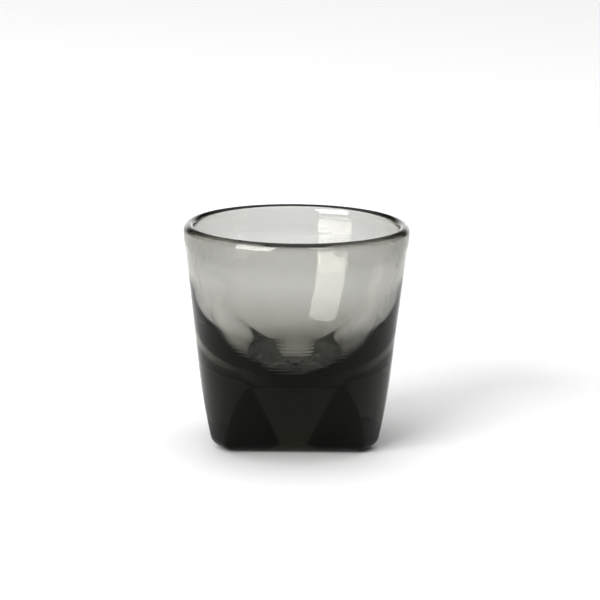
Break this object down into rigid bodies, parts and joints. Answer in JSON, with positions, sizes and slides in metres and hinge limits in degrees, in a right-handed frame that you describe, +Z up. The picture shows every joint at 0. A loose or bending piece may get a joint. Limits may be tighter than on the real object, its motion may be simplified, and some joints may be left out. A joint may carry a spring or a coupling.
{
  "type": "whiskey tumbler",
  "caption": "Small heavy-based pressed glass tumbler, round and flared at the rim, with flats cut round a thick base and a round-bottomed bowl.",
  "frame": {"origin": "centre of the foot, on the surface that the tumbler stands on", "axes": "+Z up along the tumbler's axis, -Y out through the middle of one flat, +X to the right of that flat"},
  "size_m": [0.073, 0.073, 0.0719],
  "materials": {
    "smoked_glass": "fire-polished gloss, glass coloured smoke grey right through, so the thick base looks nearly black"
  },
  "bodies": {
    "root": {"glass_body": "smoked_glass"}
  },
  "joints": []
}
